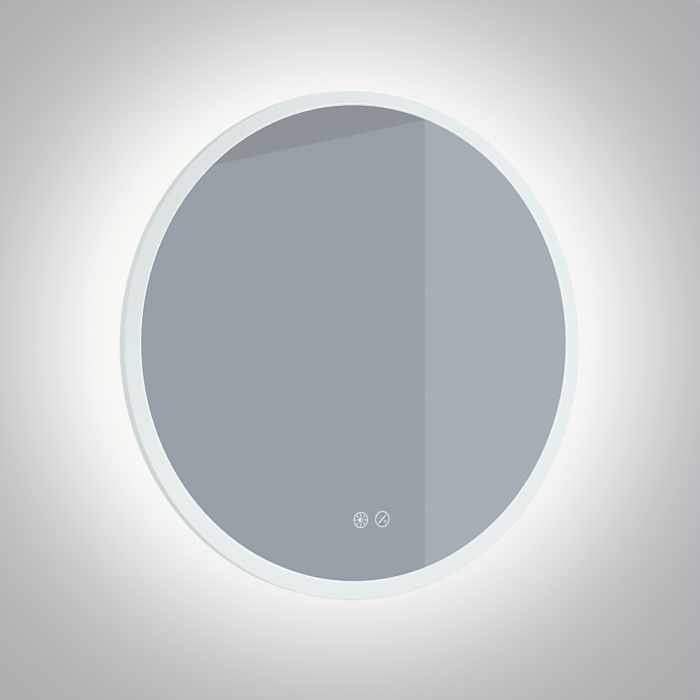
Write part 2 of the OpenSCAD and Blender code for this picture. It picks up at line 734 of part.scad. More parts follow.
module at_poles() for (i = [-1 : 1], z = [-1, 1]) translate([i * pole_pitch, 0, z * block_h * 0.26]) children();

module terminal_block() color("snow") on_box() translate([block_x, 0, -block_drop]) difference() {
    slab(block_back_out, box_floor_out - box_wall) rounded(block_w, block_h, 1);
    at_poles() bar(2.3, block_back_out - eps, block_back_out + 7);
    for (i = [-1 : 1]) translate([i * pole_pitch, -lead_out, -block_h / 2 - eps]) cylinder(r = 2, h = 8 + eps);
}

module terminal_screws() color("goldenrod") on_box() translate([block_x, 0, -block_drop])
    at_poles() difference() {
        bar(2.25, block_back_out + 2, block_back_out + 7);
        slab(block_back_out + 1, block_back_out + 3) centred(5, 0.6);
    }

// Leads

function unit(v) = v / norm(v);
function towards(a, b, d) = a + d * unit(b - a);
function bend(a, b, c) = let (d = min(lead_bend, norm(a - b) * 0.48, norm(c - b) * 0.48)) [for (t = [0 : 0.25 : 1])
    pow(1 - t, 2) * towards(b, a, d) + 2 * t * (1 - t) * b + pow(t, 2) * towards(b, c, d)];
function bent(p) = [p[0], for (i = [1 : 1 : len(p) - 2]) each bend(p[i - 1], p[i], p[i + 1]), p[len(p) - 1]];
function tangents(p) = [for (i = [0 : len(p) - 1])
    i == 0 ? unit(p[1] - p[0])
    : i == len(p) - 1 ? unit(p[i] - p[i - 1])
    : unit(unit(p[i + 1] - p[i]) + unit(p[i] - p[i - 1]))];
function square_to(n, t) = unit(n - (n * t) * t);
function normals(t, n, i = 0) = i == len(t) ? []
    : let (m = square_to(n, t[i])) concat([m], normals(t, m, i + 1));

// A round lead along a route, with its bends rounded
module lead(route, r, sides = 8) {
    p = bent([for (q = route) [q[0], -q[1], q[2]]]);
    t = tangents(p);
    n = normals(t, abs(t[0][2]) > 0.9 ? [1, 0, 0] : [0, 0, 1]);
    last = len(p) - 1;
    rings = [for (i = [0 : last], j = [0 : sides - 1])
        p[i] + r * (cos(j * 360 / sides) * n[i] + sin(j * 360 / sides) * cross(t[i], n[i]))];
    walls = [for (i = [0 : last - 1], j = [0 : sides - 1])
        let (a = i * sides + j, b = i * sides + (j + 1) % sides) each [[a + sides, b + sides, b], [a + sides, b, a]]];
    start = [for (j = [1 : sides - 2]) [0, j, j + 1]];
    end = [for (j = [1 : sides - 2]) [last * sides, last * sides + j + 1, last * sides + j]];
    on_ring() polyhedron(points = rings, faces = concat(walls, start, end));
}

module mains_lead() color("gray") lead(mains_route, mains_lead_r);

module ring_light_lead() color("black") lead(ring_route, lead_r);

module halo_light_lead() color("black") lead(halo_route, lead_r);

module demister_lead() color("black") lead(demister_route, lead_r);

module touch_lead() color("black") {
    lead(touch_route, lead_r);
    lead(link_route, lead_r);
}

// A stick-on saddle over a lead that runs along X, or along Z when turned
module saddle(x, z, turn = 0) on_ring() translate([x, 0, z]) difference() {
    union() {
        slab(tray_front_out, tray_front_out + clip_floor) rotate(turn) centred(clip_l, clip_w);
        intersection() {
            translate([0, -clip_out, 0]) rotate([0, turn, 0]) cross_bar(lead_r + clip_wall, clip_l);
            slab(tray_front_out, clip_out + 2 * clip_wall + lead_r) centred(2 * clip_w, 2 * clip_w);
        }
    }
    translate([0, -clip_out, 0]) rotate([0, turn, 0]) cross_bar(lead_r + 0.1, 2 * clip_l);
}

module lead_clips() color("white") {
    saddle(clip_x, ring_lead_z);
    saddle(clip_x, halo_lead_z);
    for (z = touch_clip_zs) saddle(touch_lead_x, z, 90);
}

wall_rail();
hanging_rail();
rail_rivets();
back_tray();
tray_screws();
wall_bumpers();
frame_hoop();
glass_bond_tape();
mirror_glass();
light_ring();
halo_diffuser();
touch_icon_light();
touch_icon_demister();
ring_led_tape();
ring_leds();
halo_led_tape();
halo_leds();
demister_pad();
demister_trace();
light_touch_sensor();
demister_touch_sensor();
driver_case();
driver_cover();
driver_board();
driver_screws();
terminal_box();
terminal_cover();
cover_screws();
box_rivets();
terminal_block();
terminal_screws();
cable_grommet();
mains_lead();
ring_light_lead();
halo_light_lead();
demister_lead();
touch_lead();
lead_clips();
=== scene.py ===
"""Looks, stage, light and camera for the round lit wall mirror."""

import json
import math

import bmesh
import bpy
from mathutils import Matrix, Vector

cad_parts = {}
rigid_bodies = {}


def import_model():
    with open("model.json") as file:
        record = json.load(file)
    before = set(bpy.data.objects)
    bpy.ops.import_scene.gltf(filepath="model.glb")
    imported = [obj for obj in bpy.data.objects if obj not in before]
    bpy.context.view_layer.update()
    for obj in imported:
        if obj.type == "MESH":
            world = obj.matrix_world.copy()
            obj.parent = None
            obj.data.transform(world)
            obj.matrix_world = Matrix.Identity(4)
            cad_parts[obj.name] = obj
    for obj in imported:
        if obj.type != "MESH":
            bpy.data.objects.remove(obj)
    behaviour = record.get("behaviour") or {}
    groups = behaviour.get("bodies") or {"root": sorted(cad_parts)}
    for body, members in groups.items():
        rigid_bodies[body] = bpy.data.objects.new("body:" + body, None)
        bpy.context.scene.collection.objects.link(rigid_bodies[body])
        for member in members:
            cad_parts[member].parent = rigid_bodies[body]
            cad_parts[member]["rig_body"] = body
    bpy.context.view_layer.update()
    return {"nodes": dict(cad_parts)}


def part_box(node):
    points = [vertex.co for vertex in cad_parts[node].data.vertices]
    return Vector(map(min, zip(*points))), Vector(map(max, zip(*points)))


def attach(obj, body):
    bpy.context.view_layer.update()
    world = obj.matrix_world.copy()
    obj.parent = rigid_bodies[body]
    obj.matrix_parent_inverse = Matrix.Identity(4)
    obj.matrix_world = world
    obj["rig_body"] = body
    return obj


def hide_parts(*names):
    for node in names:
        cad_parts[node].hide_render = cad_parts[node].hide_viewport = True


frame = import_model()
nodes = frame["nodes"]


def disc(name):
    """The middle of a round node and its radius."""
    low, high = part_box(name)
    return (low + high) / 2, (high.x - low.x) / 2


# Places in the part's frame, in metres. Y runs into the wall, so the mirror's face has the lowest y
RING_Z = -0.140
ring_low, ring_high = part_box("light_ring")
FACE_Y, RING_BACK_Y, RING_R = ring_low.y, ring_high.y, ring_high.x
RING_MIDDLE_Y = (FACE_Y + RING_BACK_Y) / 2
glass_low, glass_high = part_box("mirror_glass")
GLASS_BACK_Y, GLASS_R = glass_high.y, glass_high.x
GLASS_RISE = (glass_low.z + glass_high.z) / 2 - RING_Z
HALO_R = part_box("halo_diffuser")[1].x
TRAY_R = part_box("back_tray")[1].x
light_middle, LIGHT_R = disc("touch_icon_light")
demister_middle, DEMISTER_R = disc("touch_icon_demister")

# Sizes of the solids that their boxes don't give, in metres
RING_EDGE = 0.0012
GLASS_FIT = 0.0003
LEDGE_W = 0.025
GROOVE_DEPTH = 0.002
HALO_T = 0.0015
HALO_FIT = 0.0002
WALL_GAP = 0.012
TRAY_T = 0.0012
LIP_H = 0.004
POCKET_R = GLASS_R + GLASS_FIT

# Node helpers


class Nodes:
    """Builds a node tree from short calls. A value that is a socket is linked, any other is set."""

    def __init__(self, tree):
        self.tree = tree
        tree.nodes.clear()

    def add(self, kind, inputs=None, **settings):
        node = self.tree.nodes.new(kind)
        for name, value in settings.items():
            setattr(node, name, value)
        for key, value in (inputs or {}).items():
            self.feed(node.inputs[key], value)
        return node

    def feed(self, socket, value):
        if isinstance(value, bpy.types.NodeSocket):
            self.tree.links.new(value, socket)
        elif hasattr(value, "__len__") and len(value) == 3 and socket.type == "RGBA":
            socket.default_value = (*value, 1)
        else:
            socket.default_value = value

    def math(self, operation, a, b=None):
        inputs = {0: a} if b is None else {0: a, 1: b}
        return self.add("ShaderNodeMath", inputs, operation=operation).outputs[0]

    def mix(self, fac, a, b):
        node = self.add("ShaderNodeMix", data_type="RGBA")
        for socket, value in ((node.inputs["Factor"], fac), (node.inputs[6], a), (node.inputs[7], b)):
            self.feed(socket, value)
        return node.outputs[2]

    def mix_shader(self, fac, a, b):
        return self.add("ShaderNodeMixShader", {0: fac, 1: a.outputs[0], 2: b.outputs[0]})

    def span(self, value, low, high, to_low=0.0, to_high=1.0, smooth=False):
        """The value's place between low and high, as a number from to_low to to_high."""
        curve = "SMOOTHSTEP" if smooth else "LINEAR"
        node = self.add("ShaderNodeMapRange", clamp=True, interpolation_type=curve)
        for socket, number in zip(node.inputs, (value, low, high, to_low, to_high)):
            self.feed(socket, number)
        return node.outputs[0]

    def total(self, start, *terms):
        """start plus each socket times its factor."""
        for socket, factor in terms:
            node = self.add("ShaderNodeMath", {0: socket, 1: factor, 2: start}, operation="MULTIPLY_ADD")
            start = node.outputs[0]
        return start

    def place(self):
        return self.add("ShaderNodeTexCoord").outputs["Object"]

    def noise(self, scale, detail=3.0, rough=0.5, stretch=(1, 1, 1), twist=0.0):
        way = self.add("ShaderNodeMapping", {"Vector": self.place(), "Scale": stretch}).outputs[0]
        inputs = {"Vector": way, "Scale": scale, "Detail": detail, "Roughness": rough, "Distortion": twist}
        return self.add("ShaderNodeTexNoise", inputs).outputs[0]

    def around(self, rise=0.0, aside=0.0):
        """x and z from the ring's middle, or from a point above and beside it, and their length."""
        split = self.add("ShaderNodeSeparateXYZ", {0: self.place()})
        x, z = split.outputs[0], self.math("SUBTRACT", split.outputs[2], RING_Z + rise)
        if aside:
            x = self.math("SUBTRACT", x, aside)
        r = self.math("SQRT", self.math("ADD", self.math("MULTIPLY", x, x), self.math("MULTIPLY", z, z)))
        return x, z, r


def linear(r, g, b):
    """A display colour, each part between 11 and 255, as linear light."""
    return tuple(((c / 255 + 0.055) / 1.055) ** 2.4 for c in (r, g, b))


def blank(name):
    """An empty material and its node builder."""
    m = bpy.data.materials.new(name)
    m.use_nodes = True
    return m, Nodes(m.node_tree)


def material(name, colour, **fixed):
    """A Principled material, its node builder and its shader. fixed sets the shader's own sockets."""
    m, n = blank(name)
    shader = n.add("ShaderNodeBsdfPrincipled", {"Base Color": colour})
    for socket, value in fixed.items():
        n.feed(shader.inputs[socket.replace("_", " ")], value)
    n.add("ShaderNodeOutputMaterial", {"Surface": shader.outputs[0]})
    return m, n, shader


def bump(n, shader, height, strength, distance):
    """Gives the shader a fine relief; distance is its depth in metres."""
    node = n.add("ShaderNodeBump", {"Height": height, "Strength": strength, "Distance": distance})
    n.feed(shader.inputs["Normal"], node.outputs[0])


# How much of a finish's wander comes from its patches, and of a thick coat's height from its grain
PATCH_SHARE = 0.65
GRAIN_SHARE = 0.25


def surface(name, colour, second, rough, patch=14, grain=900, stretch=(1, 1, 1), detail=3.0,
            depth=0.00004, strength=0.3, peel=0, **fixed):
    """A finish whose colour wanders between two tones in patches, with a grain in its roughness and height.

    patch, grain and peel are noise scales. peel makes the soft lumps of a thick coat, under the grain.
    """
    m, n, shader = material(name, colour, **fixed)
    patches = n.noise(patch, 4)
    grains = n.noise(grain, detail, 0.6, stretch)
    both = n.total(0.0, (patches, PATCH_SHARE), (grains, 1 - PATCH_SHARE))
    n.feed(shader.inputs["Base Color"], n.mix(n.span(both, 0.35, 0.65), colour, second))
    n.feed(shader.inputs["Roughness"], n.span(both, 0.3, 0.7, *rough))
    height = n.total(0.0, (grains, GRAIN_SHARE), (n.noise(peel, 1), 1.0)) if peel else grains
    bump(n, shader, height, strength, depth)
    return m


def dress(o, materials, pick=None):
    """Gives an object its materials. pick(centre, normal) says which of several a face takes."""
    mesh = o.data
    mesh.materials.clear()
    for m in materials:
        mesh.materials.append(m)
    if pick:
        for p in mesh.polygons:
            p.material_index = pick(p.center, p.normal)


def dress_nodes(m, *names):
    """Gives CAD nodes one material."""
    for name in names:
        dress(nodes[name], [m])


# Mesh helpers


def stand_in(name, mesh):
    """An object with this mesh that stands for a CAD node."""
    o = bpy.data.objects.new(name + "_shown", mesh)
    bpy.context.scene.collection.objects.link(o)
    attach(o, nodes[name]["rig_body"])
    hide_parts(name)
    return o


def smooth_below(mesh, degrees):
    """Shades a mesh smooth, apart from its edges that bend by more than this."""
    mesh.shade_smooth()
    mesh.set_sharp_from_angle(angle=math.radians(degrees))


# Points this close are one. Faces are merged where they bend by less than the first angle and shaded smooth
# where they bend by less than the second. Edges that bend by more than the third are rounded
WELD_DISTANCE = 2e-6
FLAT_DEGREES = 0.5
SMOOTH_DEGREES = 12
CORNER_DEGREES = 35


def soften(name, width, segments):
    """A copy of a CAD node with small rounded edges, which stands for it."""
    b = bmesh.new()
    b.from_mesh(nodes[name].data)
    bmesh.ops.remove_doubles(b, verts=b.verts, dist=WELD_DISTANCE)
    bmesh.ops.dissolve_limit(b, angle_limit=math.radians(FLAT_DEGREES), verts=b.verts, edges=b.edges)
    mesh = bpy.data.meshes.new(name + "_sharp")
    b.to_mesh(mesh)
    b.free()
    smooth_below(mesh, SMOOTH_DEGREES)
    for m in nodes[name].data.materials:
        mesh.materials.append(m)
    o = bpy.data.objects.new(name + "_sharp", mesh)
    bpy.context.scene.collection.objects.link(o)
    edge = o.modifiers.new("edge", "BEVEL")
    edge.width = width
    edge.segments = segments
    edge.limit_method = "ANGLE"
    edge.angle_limit = math.radians(CORNER_DEGREES)
    edge.use_clamp_overlap = True
    edge.harden_normals = True
    shown = bpy.data.meshes.new_from_object(o.evaluated_get(bpy.context.evaluated_depsgraph_get()))
    bpy.data.objects.remove(o)
    bpy.data.meshes.remove(mesh)
    return stand_in(name, shown)


def arc(radius, y, bend, start, stop, steps):
    """Circles round an edge of radius bend, between two angles; 0 degrees is outward and 90 backward."""
    turns = [math.radians(start + (stop - start) * k / steps) for k in range(steps + 1)]
    return [(radius + bend * math.cos(t), y + bend * math.sin(t), 0.0) for t in turns]


LOFT_SEGMENTS = 360
LOFT_SMOOTH_DEGREES = 30


def loft(name, circles):
    """A closed ring through circles, each given as radius, y and rise, which stands for a CAD node."""
    b = bmesh.new()
    turns = [2 * math.pi * k / LOFT_SEGMENTS for k in range(LOFT_SEGMENTS)]
    loops = [
        [b.verts.new((radius * math.cos(t), y, RING_Z + rise + radius * math.sin(t))) for t in turns]
        for radius, y, rise in circles
    ]
    for this, that in zip(loops, loops[1:] + loops[:1]):
        for k in range(LOFT_SEGMENTS):
            b.faces.new((this[k], this[k - 1], that[k - 1], that[k]))
    bmesh.ops.recalc_face_normals(b, faces=b.faces)
    mesh = bpy.data.meshes.new(name + "_shown")
    b.to_mesh(mesh)
    b.free()
    smooth_below(mesh, LOFT_SMOOTH_DEGREES)
    return stand_in(name, mesh)


# Mirror glass

GLASS_IOR = 1.52
SILVER = (0.90, 0.92, 0.93)
DARK_SILVER = (0.76, 0.785, 0.80)
# Where the darker edge of the coat starts and is full, in from the edge of the glass. This edge is partly
# the coat's own and partly painted shade of the arris
DARK_START, DARK_FULL = 0.0034, 0.0018
# Width over which the coat inside a symbol turns dark
SYMBOL_FADE = 0.0015


def silver_coat():
    """The silvered front, with faint smears. It is a little darker along its edge, partly the coat's own
    edge and partly painted shade of the arris, and inside the symbols.
    """
    m, n, shader = material("silvered_glass", SILVER, Metallic=1.0)
    smears = n.noise(5, 5, 0.6, twist=0.6)
    clean = n.mix(smears, (0.893, 0.913, 0.924), (0.907, 0.927, 0.936))
    r = n.around(GLASS_RISE)[2]
    # The band along the edge is partly painted shade of the arris
    dark = n.span(r, GLASS_R - DARK_START, GLASS_R - DARK_FULL, smooth=True)
    for middle, radius in ((light_middle, LIGHT_R), (demister_middle, DEMISTER_R)):
        r = n.around(middle.z - RING_Z, middle.x)[2]
        dark = n.math("MAXIMUM", dark, n.span(r, radius - SYMBOL_FADE, radius, 1.0, 0.0))
    n.feed(shader.inputs["Base Color"], n.mix(dark, clean, DARK_SILVER))
    n.feed(shader.inputs["Roughness"], n.span(n.noise(38, 6, 0.65), 0.45, 0.8, 0.004, 0.02))
    return m


def polished_arris():
    """The glass's polished edge, which glows with the ring's light, a little less at the top."""
    m, n, shader = material("polished_arris", (0.46, 0.49, 0.50), Roughness=0.32, IOR=GLASS_IOR,
                            Specular_IOR_Level=0.2)
    glints = n.noise(900, 2)
    n.feed(shader.inputs["Base Color"], n.mix(glints, (0.43, 0.46, 0.47), (0.49, 0.52, 0.53)))
    n.feed(shader.inputs["Emission Color"], n.mix(glints, (0.80, 0.88, 0.92), (0.90, 0.97, 1.0)))
    _, z, r = n.around()
    n.feed(shader.inputs["Emission Strength"], n.total(0.66, (n.math("DIVIDE", z, r), -0.07)))
    return m


# A face is flat where its normal's y is past this, and the arris is outside this share of the glass's radius
FLAT = 0.9
ARRIS_SHARE = 0.9


def glass_part(centre, normal):
    """0, the silvered front; 1, the arris round the rim; 2, the painted back."""
    if normal.y < -FLAT:
        return 0
    radial = math.hypot(centre.x, centre.z - RING_Z - GLASS_RISE)
    return 1 if normal.y <= FLAT and radial > ARRIS_SHARE * GLASS_R else 2


backing = surface("mirror_backing_paint", (0.36, 0.40, 0.41), (0.42, 0.46, 0.47), (0.45, 0.6), patch=9,
                  grain=500)
dress(nodes["mirror_glass"], [silver_coat(), polished_arris(), backing], glass_part)

# Lit acrylic

ACRYLIC_IOR = 1.49
LED_COUNT = 94
# Noise scale of the frosting
FROST = 1500
# How much of the LEDs' rhythm is left at the rim
RIM_RHYTHM = 0.2
# Keeps the directions from the ring's middle from dividing by nothing
LEAST_R = 0.01
# The lit edge next to the glass: where it is full and where it ends, out from the rebate
LIP_FULL, LIP_END = 0.0006, 0.0018
# Two values of x/r, and of z/r, and the shares of the lit edge's light there
LIP_BY_SIDE = (-0.75, -0.1, 0.15, 1.0)
LIP_BY_HEIGHT = (-0.9, -0.2, 0.6, 1.0)


def dimmed(n, level, x, z, r, dims):
    """The level, dimmer at some sides with painted shade, each given as a direction x, z, an amount and a
    narrowing power.
    """
    for way_x, way_z, amount, power in dims:
        away = n.math("DIVIDE", n.total(0.0, (x, way_x), (z, way_z)), n.math("MAXIMUM", r, LEAST_R))
        shade = n.math("POWER", n.math("MAXIMUM", away, 0.0), power)
        level = n.total(level, (shade, -amount))
    return level


def led_rhythm(n, x, z, r, spots):
    """A factor near 1 that rises at each LED by spots, and by less towards the rim."""
    wave = n.math("COSINE", n.math("MULTIPLY", n.math("ARCTAN2", z, x), LED_COUNT))
    near = n.span(r, HALO_R, RING_R, spots, RIM_RHYTHM * spots)
    return n.math("ADD", n.math("MULTIPLY", wave, near), 1.0)


def lip_light(n, amount):
    """Extra light on the narrow edge next to the glass, least towards -x and a little less below."""
    x, z, r = n.around(GLASS_RISE)
    edge = n.span(r, POCKET_R + LIP_FULL, POCKET_R + LIP_END, amount, 0.0, smooth=True)
    side = n.span(n.math("DIVIDE", x, r), *LIP_BY_SIDE, smooth=True)
    height = n.span(n.math("DIVIDE", z, r), *LIP_BY_HEIGHT, smooth=True)
    return n.math("MULTIPLY", edge, n.math("MULTIPLY", side, height))


def lit_acrylic(name, colour, glow, strength, spots, rough, dims=(), gloss=0.4, lip=0.0):
    """Frosted or opal plastic with its own light, a faint rhythm of the LEDs and soft clouds.

    spots is the strength of the rhythm, dims says where it is dimmer with painted shade, as in dimmed, and
    lip is the amount of extra light next to the glass.
    """
    m, n, shader = material(name, colour, IOR=ACRYLIC_IOR, Specular_IOR_Level=gloss)
    x, z, r = n.around()
    level = dimmed(n, strength, x, z, r, dims)
    clouds = n.span(n.noise(26, 4), 0.3, 0.7, 0.985, 1.015)
    level = n.math("MULTIPLY", n.math("MULTIPLY", level, led_rhythm(n, x, z, r, spots)), clouds)
    if lip:
        level = n.math("ADD", level, lip_light(n, lip))
    frost = n.noise(FROST, 2, 0.7)
    n.feed(shader.inputs["Base Color"], n.mix(frost, tuple(c * 0.985 for c in colour), colour))
    n.feed(shader.inputs["Emission Color"], glow)
    n.feed(shader.inputs["Emission Strength"], level)
    n.feed(shader.inputs["Roughness"], n.span(frost, 0.3, 0.7, *rough))
    bump(n, shader, frost, 0.12, 0.00003)
    return m


# The face's material is on the faces whose normal's y is below the tilt. The rest take the side's darker
# copy of the acrylic, whose tone is painted shade. The tilt is lower at the left, so the face's material
# reaches round less of the rounding there, and a thin painted line of shade shows on it. It changes between
# two sides; -1 is the left end
LEFT_TILT, RIGHT_TILT = -0.8, -0.04
LEFT_SIDE, RIGHT_SIDE = -0.30, -0.05


def ring_part(centre, normal):
    """0, the face and some of its outer rounding; 1, the sides and the back, a darker copy of the acrylic
    whose tone is painted shade.
    """
    side = centre.x / math.hypot(centre.x, centre.z - RING_Z)
    share = min(max((side - LEFT_SIDE) / (RIGHT_SIDE - LEFT_SIDE), 0), 1)
    tilt = LEFT_TILT + (RIGHT_TILT - LEFT_TILT) * share
    return 0 if normal.y < tilt and centre.y < RING_MIDDLE_Y else 1


LEDGE_R = GLASS_R - LEDGE_W
GROOVE_Y = RING_BACK_Y - GROOVE_DEPTH
GROOVE_IN_R = HALO_R - HALO_T - HALO_FIT
GROOVE_OUT_R = HALO_R + HALO_FIT
ring = loft("light_ring", [
    *arc(RING_R - RING_EDGE, RING_BACK_Y - RING_EDGE, RING_EDGE, 90, 0, 6),
    *arc(RING_R - RING_EDGE, FACE_Y + RING_EDGE, RING_EDGE, 0, -90, 16),
    (POCKET_R, FACE_Y, GLASS_RISE), (POCKET_R, GLASS_BACK_Y, GLASS_RISE),
    (LEDGE_R, GLASS_BACK_Y, 0), (LEDGE_R, RING_BACK_Y, 0),
    (GROOVE_IN_R, RING_BACK_Y, 0), (GROOVE_IN_R, GROOVE_Y, 0),
    (GROOVE_OUT_R, GROOVE_Y, 0), (GROOVE_OUT_R, RING_BACK_Y, 0),
])
# The dims are painted shade: the face is darker towards the upper left and, narrowly, the upper right, and
# the side is darker towards the top
ring_face = lit_acrylic("frosted_acrylic", (0.57, 0.605, 0.605), (0.94, 0.99, 0.985), strength=0.318,
                        spots=0.006, rough=(0.42, 0.56), lip=0.17,
                        dims=[(-0.643, 0.766, 0.138, 1.5), (0.707, 0.707, 0.035, 4.0)])
ring_side = lit_acrylic("frosted_acrylic_side", (0.20, 0.218, 0.224), (0.92, 0.985, 1.0), strength=0.525,
                        spots=0.035, rough=(0.5, 0.65), dims=[(0.0, 1.0, 0.20, 1.5)], gloss=0.05)
dress(ring, [ring_face, ring_side], ring_part)

HALO_BACK_R = TRAY_R - TRAY_T - HALO_FIT
BEND_Y = RING_BACK_Y + HALO_T
TRAY_Y = -(WALL_GAP + TRAY_T)
LIP_Y = -(WALL_GAP + LIP_H)
diffuser = loft("halo_diffuser", [
    (HALO_BACK_R, TRAY_Y, 0), (HALO_BACK_R, LIP_Y, 0), (HALO_R, BEND_Y, 0), (HALO_R, GROOVE_Y, 0),
    (HALO_R - HALO_T, GROOVE_Y, 0), (HALO_R - HALO_T, BEND_Y, 0),
    (HALO_BACK_R - HALO_T, LIP_Y, 0), (HALO_BACK_R - HALO_T, TRAY_Y, 0),
])
opal = lit_acrylic("opal_acrylic", (0.50, 0.50, 0.485), (1.0, 0.995, 0.96), strength=0.36, spots=0.035,
                   rough=(0.4, 0.52))
dress(diffuser, [opal])

# Touch symbols


def symbol_white(name, dull, pale, glow):
    """The frosted, lit lines of a symbol; glow is their own light, from the duller specks to the paler."""
    m, n, shader = material(name, dull, Roughness=0.4)
    specks = n.noise(700, 2)
    n.feed(shader.inputs["Base Color"], n.mix(specks, dull, pale))
    n.feed(shader.inputs["Emission Color"], n.mix(specks, (0.86, 0.93, 1.0), (0.95, 0.98, 1.0)))
    n.feed(shader.inputs["Emission Strength"], n.span(specks, 0.3, 0.7, *glow))
    return m


# Reach of the half disc and of the space inside the demister's circle, as shares of the symbols' radii
HALF_DISC_SHARE = 0.4
INSIDE_SHARE = 0.83
# Half the width of the slanted bar, with room to spare
BAR_HALF = 0.0012


def light_part(centre, normal):
    """0, the circle, the rays and the core's outline; 1, the half disc, which is the brightest."""
    dx, dz = centre.x - light_middle.x, centre.z - light_middle.z
    return 1 if dx < 0 and math.hypot(dx, dz) < HALF_DISC_SHARE * LIGHT_R else 0


def demister_part(centre, normal):
    """0, the circle and its slanted bar; 1, the oval and the drop, which are fainter."""
    dx, dz = centre.x - demister_middle.x, centre.z - demister_middle.z
    off_bar = abs(dx - dz) * math.sqrt(0.5)
    return 1 if off_bar > BAR_HALF and math.hypot(dx, dz) < INSIDE_SHARE * DEMISTER_R else 0


symbol = symbol_white("symbol_white", (0.60, 0.63, 0.66), (0.66, 0.69, 0.72), (0.20, 0.26))
bright = symbol_white("symbol_white_bright", (0.60, 0.63, 0.66), (0.66, 0.69, 0.72), (0.38, 0.44))
faint = symbol_white("symbol_white_faint", (0.52, 0.55, 0.58), (0.58, 0.61, 0.64), (0.05, 0.07))
dress(nodes["touch_icon_light"], [symbol, bright], light_part)
dress(nodes["touch_icon_demister"], [symbol, faint], demister_part)

# Metals

dress_nodes(
    surface("rail_aluminium", (0.68, 0.69, 0.70), (0.78, 0.79, 0.80), (0.30, 0.44), patch=10, grain=260,
            stretch=(0.05, 5, 5), depth=0.00003, strength=0.35, Metallic=1.0),
    "wall_rail", "hanging_rail")
dress_nodes(
    surface("hoop_aluminium", (0.72, 0.73, 0.74), (0.80, 0.81, 0.82), (0.28, 0.42), patch=12, grain=400,
            Metallic=1.0),
    "frame_hoop")
dress_nodes(
    surface("rivet_aluminium", (0.76, 0.77, 0.78), (0.86, 0.87, 0.88), (0.22, 0.36), patch=160, grain=2200,
            Metallic=1.0),
    "rail_rivets", "box_rivets")
dress_nodes(
    surface("zinc_steel", (0.62, 0.64, 0.67), (0.76, 0.76, 0.75), (0.22, 0.40), patch=220, grain=2600,
            Metallic=1.0),
    "tray_screws", "driver_screws", "cover_screws")
dress_nodes(
    surface("screw_brass", (0.72, 0.52, 0.22), (0.82, 0.64, 0.32), (0.22, 0.36), patch=200, grain=2400,
            Metallic=1.0),
    "terminal_screws")
dress_nodes(
    surface("tray_paint", (0.60, 0.60, 0.585), (0.67, 0.67, 0.655), (0.30, 0.44), patch=7, grain=1700,
            detail=2.0, depth=0.00025, strength=0.5, peel=330),
    "back_tray")

# Rubber, plastics, boards and leads

dress_nodes(
    surface("black_rubber", (0.030, 0.030, 0.032), (0.055, 0.055, 0.057), (0.62, 0.8), patch=90, grain=1800,
            depth=0.00005),
    "wall_bumpers", "cable_grommet")
dress_nodes(
    surface("box_plastic", (0.72, 0.72, 0.70), (0.77, 0.77, 0.75), (0.42, 0.55), patch=18, grain=2300,
            detail=2.0, depth=0.00006, strength=0.4),
    "terminal_box", "terminal_cover")
dress_nodes(
    surface("driver_plastic", (0.050, 0.052, 0.056), (0.075, 0.077, 0.082), (0.45, 0.6), patch=18,
            grain=2300, detail=2.0, depth=0.00006, strength=0.4),
    "driver_case", "driver_cover")
dress_nodes(
    surface("block_nylon", (0.78, 0.78, 0.73), (0.84, 0.84, 0.79), (0.32, 0.45), patch=60, grain=1500),
    "terminal_block")
dress_nodes(
    surface("clip_nylon", (0.78, 0.78, 0.75), (0.84, 0.84, 0.81), (0.35, 0.5), patch=90, grain=1500),
    "lead_clips")
dress_nodes(
    surface("bond_foam", (0.72, 0.72, 0.70), (0.80, 0.80, 0.78), (0.8, 0.95), patch=60, grain=2600,
            depth=0.0001, strength=0.6),
    "glass_bond_tape")
dress_nodes(
    surface("board_green", (0.018, 0.11, 0.045), (0.03, 0.15, 0.065), (0.2, 0.34), patch=120, grain=1100),
    "light_touch_sensor", "demister_touch_sensor", "driver_board")
dress_nodes(
    surface("tape_white", (0.78, 0.78, 0.75), (0.84, 0.84, 0.81), (0.4, 0.55), patch=80, grain=1500),
    "ring_led_tape", "halo_led_tape")
dress_nodes(
    surface("heater_film", (0.55, 0.20, 0.020), (0.66, 0.27, 0.035), (0.25, 0.4), patch=30, grain=600),
    "demister_pad")
dress_nodes(
    surface("heater_foil", (0.62, 0.58, 0.44), (0.72, 0.68, 0.54), (0.28, 0.42), patch=70, grain=1200,
            Metallic=1.0),
    "demister_trace")
dress_nodes(
    surface("lead_grey", (0.33, 0.33, 0.33), (0.39, 0.39, 0.39), (0.42, 0.55), patch=90, grain=1400),
    "mains_lead")
dress_nodes(
    surface("lead_black", (0.022, 0.022, 0.022), (0.040, 0.040, 0.040), (0.38, 0.5), patch=90, grain=1400),
    "ring_light_lead", "halo_light_lead", "demister_lead", "touch_lead")


def led_phosphor():
    """The yellow face of the LED chips, lit."""
    m, n, shader = material("led_phosphor", (0.85, 0.72, 0.30), Roughness=0.3)
    n.feed(shader.inputs["Base Color"], n.mix(n.noise(900, 2), (0.82, 0.66, 0.22), (0.88, 0.78, 0.38)))
    n.feed(shader.inputs["Emission Color"], (1.0, 0.95, 0.80))
    n.feed(shader.inputs["Emission Strength"], 0.5)
    m.cycles.emission_sampling = "NONE"
    return m


dress_nodes(led_phosphor(), "ring_leds", "halo_leds")

# Rounded edges of the pieces that show from behind

SHEET_EDGE = 0.0003
FOOT_EDGE = 0.0008
GROMMET_EDGE = 0.0005

for node in ("wall_rail", "hanging_rail", "back_tray", "terminal_cover"):
    soften(node, SHEET_EDGE, segments=2)
soften("wall_bumpers", FOOT_EDGE, segments=3)
soften("cable_grommet", GROMMET_EDGE, segments=3)

# Wall and floor

